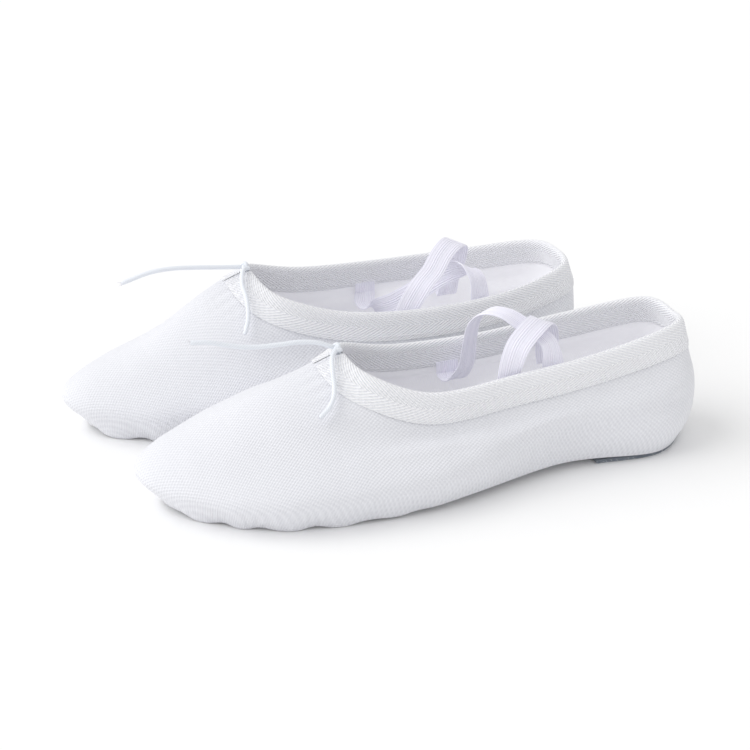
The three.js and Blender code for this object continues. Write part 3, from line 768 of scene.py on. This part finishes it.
def cotton_lining(side, shape, seed):
    turns = even_turns(360)
    heights = shape.heights(turns)
    below = heights[:, None] * (1 - np.linspace(0, 1, 60))
    inside = shape.on(turns, below)
    creases = 0.25 * MM * wobble(inside, 18 * MM, seed + 4) * smooth((below - 12 * MM) / (10 * MM))
    dips = soft_dips(shape, turns, heights, below)
    outer = shape.off(turns, below[:, ::3], dips[:, ::3] - LINING_DEPTH)
    inner_out = dips + creases - LINING_DEPTH - LINING_THICKNESS
    inner = shape.off(turns, below[:, ::-1], inner_out[:, ::-1])
    rings = np.concatenate([outer, inner], axis=1)
    uv = woven_uv(shape, rings)
    uv = np.concatenate([uv, uv[:, -1:]], axis=1)
    piece = grid_mesh(side + "_lining", rings, uv, closed_path=True, material=LINING)
    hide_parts(side + "_cotton_lining")
    return piece


def binding_section():
    """The folded tape's section: rows of (below the rim, out), the outside face then the inside."""
    def fold(thickness, steps):
        outer, inner = CLEARANCE + thickness, -INSIDE_FACE - thickness
        top = -2 * CASING_ROOM - CORD_DIAMETER - thickness
        middle, half = (outer + inner) / 2, (outer - inner) / 2
        shares = np.linspace(0, 1, 13)
        pressed = thickness * PRESSED_EDGE * np.exp(-shares * 14)
        rows = list(zip(BINDING_WIDTH * (1 - shares), outer - pressed))
        for angle in np.linspace(0, np.pi, steps)[1:-1]:
            rows.append((top * math.sin(angle) ** 0.8, middle + half * math.cos(angle)))
        rows += list(zip(BINDING_WIDTH * shares, inner + pressed[::-1]))
        return rows
    return np.array(fold(TAPE_THICKNESS, 15) + fold(0.12 * MM, 9)[::-1])


def throat_binding(side, shape, seed):
    end = shape.turn_at_throat(TAPE_END)
    turns = np.linspace(end, 1 - end, 420)
    section = binding_section()
    below = np.broadcast_to(section[:, 0], (len(turns), len(section)))
    base = shape.on(turns, below)
    pull = throat_pull(shape, turns, np.maximum(below, 0))
    rim_distance = arc(shape.on(turns, [0.0])[:, 0])[:, None]
    gathers = 0.3 * MM * pull * np.sin(2 * np.pi * rim_distance / GATHER_PERIOD)
    waves = 0.3 * MM * wobble(base, 26 * MM, seed + 8)
    out = section[:, 1] + gathers + waves * (section[:, 1] > 0)
    rings = shape.off(turns, below, out)
    across = arc(rings, axis=1).mean(0)
    u = arc(rings[:, 12])[:, None] + 0 * across
    uv = np.stack([u, across + 0 * u], -1)
    uv = np.concatenate([uv, uv[:, -1:]], axis=1)
    piece = grid_mesh(side + "_binding", rings, uv, caps=True, material=BINDING)
    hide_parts(side + "_throat_binding")
    return piece


def binding_stitches(side, shape):
    """A row of stitches near the outer leg's lower edge and one inside, and the ends' bar tacks."""
    model = stitch_model(SEAM_STITCH, SEAM_THREAD)
    places = []
    end = shape.turn_at_throat(TAPE_END + 1 * MM)
    seam = BINDING_WIDTH - SEAM_FROM_EDGE
    for out, facing in ((CLEARANCE + TAPE_THICKNESS, 1), (-INSIDE_FACE - TAPE_THICKNESS, -1)):
        dense = np.linspace(end, 1 - end, 1500)
        row = shape.off(dense, [seam], [out])[:, 0]
        distance = arc(row)
        count = int(distance[-1] / SEAM_PITCH)
        at = np.interp((np.arange(count) + 0.5) / count * distance[-1], distance, dense)
        here = shape.off(at, [seam], [out])[:, 0]
        ahead = shape.off(at + 0.001, [seam], [out])[:, 0]
        normal = shape.out(at, [seam])[:, 0] * facing
        places += [basis(b - a, n, a) for a, b, n in zip(here, ahead, normal)]
    for first, way in ((end, 1), (1 - end, -1)):
        for k in range(7):
            turn = [first + way * shape.turn_at_throat((0.2 + 0.15 * (k % 2)) * MM)]
            below = [1.2 * MM + k * TACK_PITCH]
            at = shape.off(turn, below, [CLEARANCE + TAPE_THICKNESS + 0.05 * MM])[0, 0]
            lower = shape.off(turn, [below[0] + 1 * MM], [CLEARANCE + TAPE_THICKNESS])[0, 0]
            places.append(basis(lower - at, shape.out(turn, below)[0, 0], at))
    piece = copies(side + "_binding_stitches", model, places, THREAD)
    return piece


def drawcord_loop(side, shape):
    end = shape.turn_at_throat(CORD_RADIUS + CLEARANCE)
    turns = np.linspace(end, 1 - end, 300)
    path = shape.off(turns, [CASING_HEIGHT], [CASING_MIDDLE])[:, 0]
    piece = tube(side + "_drawcord", path, CORD_RADIUS, 10, CORD)
    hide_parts(side + "_drawcord_loop")
    return piece


def drawcord_knot(side, shape):
    """An overhand knot of the cord, pulled tight."""
    t = np.linspace(0, 2 * np.pi, 90)
    size = 0.36 * KNOT_RADIUS
    path = np.stack([np.sin(t) + 2 * np.sin(2 * t), np.cos(t) - 2 * np.cos(2 * t),
                     -1.6 * np.sin(3 * t)], -1) * size * 0.72
    turned = Matrix.Rotation(math.radians(70), 3, "Y")
    path = path @ np.array(turned).T + shape.knot()
    piece = tube(side + "_knot", path, 0.95 * CORD_RADIUS, 12, CORD)
    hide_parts(side + "_drawcord_knot")
    return piece


def frayed_tip(name, path, seed):
    """Loose fibres at a cut end of the cord, spreading from its core."""
    tip, along = path[-1], unit(path[-1] - path[-3])
    rng = np.random.default_rng(seed)
    strands = []
    for k in range(14):
        spread = unit(np.cross(along, rng.normal(size=3)))
        reach = rng.uniform(1.6, 3.2) * MM
        steps = np.linspace(0, 1, 6)[:, None]
        bend = rng.uniform(0.15, 0.5)
        line = (tip - along * 0.4 * MM + spread * CORD_RADIUS * 0.5
                + steps * along * reach + steps**2 * spread * reach * bend)
        strands.append(tube(f"{name}_{k}", line, np.linspace(0.11, 0.05, 6) * MM, 5, THREAD))
    only(strands[0])
    for strand in strands:
        strand.select_set(True)
    bpy.ops.object.join()
    strands[0].name = name
    return strands[0]


def drawcord_tails(side, shape, place, routes, seed):
    knot = shape.knot()
    turned = np.array(place.to_3x3())
    pieces = []
    for k, (label, route) in enumerate(routes.items()):
        stops = knot + np.array(route) * MM
        path = open_spline(stops, np.linspace(0, 1, 60)) @ turned.T + np.array(place.translation)
        name = f"{side}_tail_{label}"
        piece = tube(name, path, CORD_RADIUS, 12, CORD)
        tip = frayed_tip(name + "_fray", path, seed + k)
        core = tube(name + "_core", path[-5:] + unit(path[-1] - path[-2]) * 0.6 * MM,
                    0.45 * CORD_RADIUS, 8, CORE)
        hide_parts(f"{side}_drawcord_tail_{label}")
        pieces += [piece, tip, core]
    return pieces


def wall_stop(shape, turn, below, depth):
    at = shape.off([turn], [below], [-depth - STRAP_THICKNESS / 2])[0, 0]
    ahead = shape.on([turn + 0.002, turn - 0.002], [below])[:, 0]
    across = unit(ahead[0] - ahead[1])
    return at, across if across[0] > 0 else -across


def strap_stops(shape, start, end, rows):
    """The strap's route: down the lining from under the binding, free stops, up to the binding."""
    below = BINDING_WIDTH + HANGING_DROP
    top, across = wall_stop(shape, start, below, INSIDE_FACE + HANGING_ROOM)
    out = shape.out([start], [below])[0, 0]
    down = np.cross(across, out)
    down = -down if down[2] > 0 else down
    tucked = top - down * 4 * MM + out * 1.6 * MM
    stops = [(tucked, across), (top, across), (top + down * HANGING_DROP - out * FOLD_ROOM, across)]
    for row in rows:
        stops.append((shape.place(row), np.array(row[3:], float)))
    seat = INSIDE_FACE + BINDING_THICKNESS + FOLD_ROOM + CLEARANCE
    sewn = [(0, seat + FOLD_ROOM), (BINDING_WIDTH / 2, seat), (0.8 * BINDING_WIDTH, seat)]
    return stops + [wall_stop(shape, end, at, depth) for at, depth in sewn]


def cross_strap(side, shape, label, strap):
    stops = strap_stops(shape, *strap)
    shares = np.linspace(0, 1, 220)
    path = open_spline([at for at, across in stops], shares)
    width = open_spline([across for at, across in stops], shares, centripetal=False)
    tangent = unit(np.gradient(path, axis=0))
    width = unit(width - tangent * np.sum(width * tangent, -1, keepdims=True))
    thick = np.cross(width, tangent)
    across = np.linspace(-1, 1, 73)
    rib = np.abs(np.sin(across * np.pi * 4.5)) ** 0.6
    edge = np.sqrt(np.clip(1 - np.abs(across) ** 16, 0, 1))
    half = STRAP_THICKNESS / 2 * (0.5 + 0.5 * rib) * edge
    profile = np.concatenate([np.stack([across, half], -1), np.stack([across, -half], -1)[::-1][1:-1]])
    rings = (path[:, None] + width[:, None] * profile[:, :1] * STRAP_WIDTH / 2
             + thick[:, None] * profile[:, 1:])
    u = arc(path)[:, None] + 0 * profile[:, 0]
    v = profile[:, 0] * STRAP_WIDTH / 2 + 0 * u
    uv = np.stack([v, u], -1)
    uv = np.concatenate([uv, uv[:, :1]], axis=1)
    piece = grid_mesh(f"{side}_strap_{label}", rings, uv, caps=True, material=ELASTIC)
    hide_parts(f"{side}_cross_strap_{label}")
    return piece


def insole(side, shape, part, middle, reach_turn):
    """A thin covered pad, rounded over at its edge."""
    turns = middle + np.linspace(-1, 1, 121) * reach_turn
    shares = np.linspace(0, 0.9, 34)
    low = shape.bottom(turns, shares)
    low[..., 2] += CANVAS_THICKNESS + CLEARANCE
    edge = np.minimum((0.9 - shares) * BALL_WIDTH / 2, 1)
    ends = np.abs(low[..., 0] - low[0, -1, 0])
    near = np.minimum(edge[None], ends + 0.0001)
    rise = INSOLE_THICKNESS * (0.25 + 0.75 * smooth(near / (2.5 * MM)) ** 0.5)
    high = low.copy()
    high[..., 2] += rise + 0.15 * MM * wobble(low, 12 * MM, 3)
    rings = np.concatenate([low, high[:, ::-1]], axis=1)
    uv = uv_of(rings, closed=False)
    uv[..., 0], uv[..., 1] = rings[..., 0], rings[..., 1]
    uv = np.concatenate([uv, uv[:, -1:]], axis=1)
    piece = grid_mesh(f"{side}_{part}_pad", rings, uv, closed_ring=False, caps=True, material=INSOLE)
    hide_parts(f"{side}_{part}_insole")
    return piece


def suede_sole(side, shape, part, middle, reach_turn, reach):
    """Two thin layers of split suede with a worn edge."""
    pieces = []
    turns = middle + np.linspace(-1, 1, 180) * reach_turn
    shrink = np.array([1 if part == "heel" else 0.84, 1, 1])
    for layer, (low, high) in enumerate(((0, 0.85), (0.95, 1.6))):
        ragged = 1 + 0.004 * wobble(shape.bottom(turns, [1.0]), 3 * MM, 11 + layer)[:, 0]
        rim = shape.bottom(turns, [1.0])[:, 0]
        centre = rim.mean(0)
        outline = centre + (shape.bottom(turns, [reach])[:, 0] - centre) * ragged[:, None] * shrink
        inset = [(0.0, 0.3), (0.25, 0.02), (0.75, 0.0), (1.0, 0.25)]
        rows = []
        for share, pull in inset:
            ring = outline + unit(centre - outline) * pull * MM
            ring[:, 2] = (low + (high - low) * share) * MM
            rows.append(ring)
        rings = np.stack(rows, 0)
        uv = np.zeros((len(rows), len(turns) + 1, 2))
        uv[:, :-1] = rings[..., :2]
        uv[:, -1] = rings[:, 0, :2]
        piece = grid_mesh(f"{side}_{part}_suede_{layer}", rings, uv, caps=True, material=SUEDE)
        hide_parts(f"{side}_{part}_sole")
        pieces.append(piece)
    return pieces


def sole_fibres(side, shape, part, middle, reach_turn, reach, seed):
    """White fibres from the worn stitching, along the patch's edge."""
    rng = np.random.default_rng(seed)
    strands = []
    for k in range(46):
        turn = middle + rng.uniform(-0.98, 0.98) * reach_turn
        edge = shape.bottom([turn], [reach])[0, 0]
        edge[2] = rng.uniform(0.5, 1.7) * MM
        away = edge - shape.bottom([turn], [0.3])[0, 0]
        away = unit(away * np.array([1, 1, 0]) + rng.normal(size=3) * 6 * MM)
        length = rng.uniform(0.8, 2.4) * MM
        steps = np.linspace(0, 1, 5)[:, None]
        droop = np.array([0, 0, -1.0])
        line = edge - away * 0.4 * MM + steps * away * length + steps**2 * droop * 0.3 * length
        line[:, 2] = np.maximum(line[:, 2], 0.15 * MM)
        strands.append(tube(f"fibre_{k}", line, 0.06 * MM, 5, THREAD))
    only(strands[0])
    for strand in strands:
        strand.select_set(True)
    bpy.ops.object.join()
    strands[0].name = f"{side}_{part}_fibres"
    return strands[0]


def heel_seam_tape(side, shape):
    below = np.linspace(BINDING_WIDTH + CLEARANCE, BINDING_WIDTH + CLEARANCE + SEAM_TAPE_DROP, 40)
    half_turn = SEAM_TAPE_WIDTH / 2 / shape_girth(shape)
    turns = 0.5 + np.linspace(-1, 1, 13) * half_turn
    near = shape.off(turns, below, np.full((13, 40), -INSIDE_FACE + 0.3 * MM))
    far = shape.off(turns, below, np.full((13, 40), -INSIDE_FACE - 0.4 * MM))
    rings = np.concatenate([near, far[:, ::-1]], axis=1)
    uv = uv_of(rings, closed=False)
    uv = np.concatenate([uv, uv[:, -1:]], axis=1)
    piece = grid_mesh(side + "_seam_tape", rings, uv, caps=True, material=TAPE)
    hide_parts(side + "_heel_seam_tape")
    return piece


def back_seam_stitches(side, shape):
    """Lines of stitches either side of the centre-back seam."""
    model = stitch_model(BACK_STITCH, BACK_THREAD)
    places = []
    height = shape.heights([0.5])[0]
    away = BACK_SPACING / shape_girth(shape)
    for turn in (0.5 - away, 0.5 + away):
        for below in np.arange(BINDING_WIDTH + 2 * MM, height - 2 * MM, BACK_PITCH):
            at = shape.off([turn], [below], [0.12 * MM])[0, 0]
            lower = shape.off([turn], [below + 1 * MM], [0.12 * MM])[0, 0]
            places.append(basis(lower - at, shape.out([turn], [below])[0, 0], at))
    piece = copies(side + "_back_stitches", model, places, THREAD)
    return piece


# ---------------------------------------------------------------------------------------------
# One slipper: its pieces, and the bodies that they follow

def slipper(side, shape, place, straps, seed):
    forefoot, heel = side + "_forefoot", side + "_heel"
    bending = [canvas_upper(side, shape, seed), cotton_lining(side, shape, seed),
               throat_binding(side, shape, seed), binding_stitches(side, shape),
               drawcord_loop(side, shape), back_seam_stitches(side, shape)]
    bending += [cross_strap(side, shape, label, strap) for label, strap in straps.items()]
    front = [drawcord_knot(side, shape), insole(side, shape, "forefoot", 0, 0.225)]
    front += suede_sole(side, shape, "forefoot", 0, 0.225, FOREFOOT_PATCH_SHARE)
    back = [insole(side, shape, "heel", 0.5, 0.15), heel_seam_tape(side, shape),
            sole_fibres(side, shape, "heel", 0.5, 0.14, HEEL_PATCH_SHARE, seed + 20)]
    back += suede_sole(side, shape, "heel", 0.5, 0.14, HEEL_PATCH_SHARE)
    for piece in bending + front + back:
        piece.data.transform(place)
    for piece in bending:
        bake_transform(piece)
    for piece in front:
        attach(piece, forefoot)
    for piece in back:
        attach(piece, heel)


def standing_place(side, turn):
    """Where a slipper stands: its forefoot mount is a known way back from its toe."""
    turned = Matrix.Rotation(math.radians(turn), 4, "Z")
    toe = mount(side + "_forefoot_rest") - turned @ Vector((FOREFOOT_MARK, 0, 0))
    return Matrix.Translation(toe) @ turned


# ---------------------------------------------------------------------------------------------
# Camera, floor and light

def camera(azimuth, elevation, distance, aim, lens):
    a, e = math.radians(azimuth), math.radians(elevation)
    back = Vector((math.sin(a) * math.cos(e), -math.cos(a) * math.cos(e), math.sin(e)))
    data = bpy.data.cameras.new("camera")
    data.lens = lens
    data.sensor_width = 36
    data.clip_end = 20
    view = bpy.data.objects.new("camera", data)
    view.rotation_euler = back.to_track_quat("Z", "Y").to_euler()
    view.location = aim + back * distance
    bpy.context.scene.collection.objects.link(view)
    bpy.context.scene.camera = view


def floor_material():
    material = bpy.data.materials.new("paper floor")
    material.use_nodes = True
    tree = material.node_tree
    shader = tree.nodes["Principled BSDF"]
    place = tree.nodes.new("ShaderNodeTexCoord")
    texture = tree.nodes.new("ShaderNodeTexNoise")
    texture.inputs["Scale"].default_value = 3
    tree.links.new(place.outputs["Object"], texture.inputs["Vector"])
    tone = tree.nodes.new("ShaderNodeMapRange")
    tone.inputs["To Min"].default_value = 0.93
    tone.inputs["To Max"].default_value = 0.95
    tree.links.new(texture.outputs[0], tone.inputs["Value"])
    joined = tree.nodes.new("ShaderNodeCombineColor")
    for channel in ("Red", "Green", "Blue"):
        tree.links.new(tone.outputs[0], joined.inputs[channel])
    tree.links.new(joined.outputs[0], shader.inputs["Base Color"])
    shader.inputs["Roughness"].default_value = 1
    shader.inputs["Specular IOR Level"].default_value = 0
    return material


def studio():
    bpy.ops.object.select_all(action="DESELECT")
    bpy.ops.mesh.primitive_plane_add(size=12, location=(0, 0, 0))
    floor = bpy.context.object
    floor.name = "floor"
    floor.data.materials.append(floor_material())
    world = bpy.data.worlds.new("studio")
    bpy.context.scene.world = world
    world.use_nodes = True
    world.node_tree.nodes["Background"].inputs["Color"].default_value = (1, 1, 1, 1)
    world.node_tree.nodes["Background"].inputs["Strength"].default_value = 0.77
    sun = bpy.data.lights.new("key", "SUN")
    sun.energy = 1.5
    sun.angle = math.radians(60)
    key = bpy.data.objects.new("key", sun)
    key.rotation_euler = Vector((-0.85, 0.15, 0.75)).to_track_quat("Z", "Y").to_euler()
    bpy.context.scene.collection.objects.link(key)
    bpy.context.scene.view_settings.view_transform = "Standard"


left_place = standing_place("left", 0)
camera(-18.5, 24.9, 849.8 * MM, left_place @ Vector((0.1352, 0.1059, -0.0068)), 83.9)
studio()

slippers = (("left", UpperShape(LEFT_RIM, 1), left_place, LEFT_STRAPS, LEFT_TAILS, 1),
            ("right", UpperShape(RIGHT_RIM, -1), standing_place("right", PAIR_TURN), RIGHT_STRAPS,
             RIGHT_TAILS, 2))
for side, shape, place, straps, tails, seed in slippers:
    for piece in drawcord_tails(side, shape, place, tails, seed * 10):
        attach(piece, side + "_forefoot")
for side, shape, place, straps, tails, seed in slippers:
    slipper(side, shape, place, straps, seed)
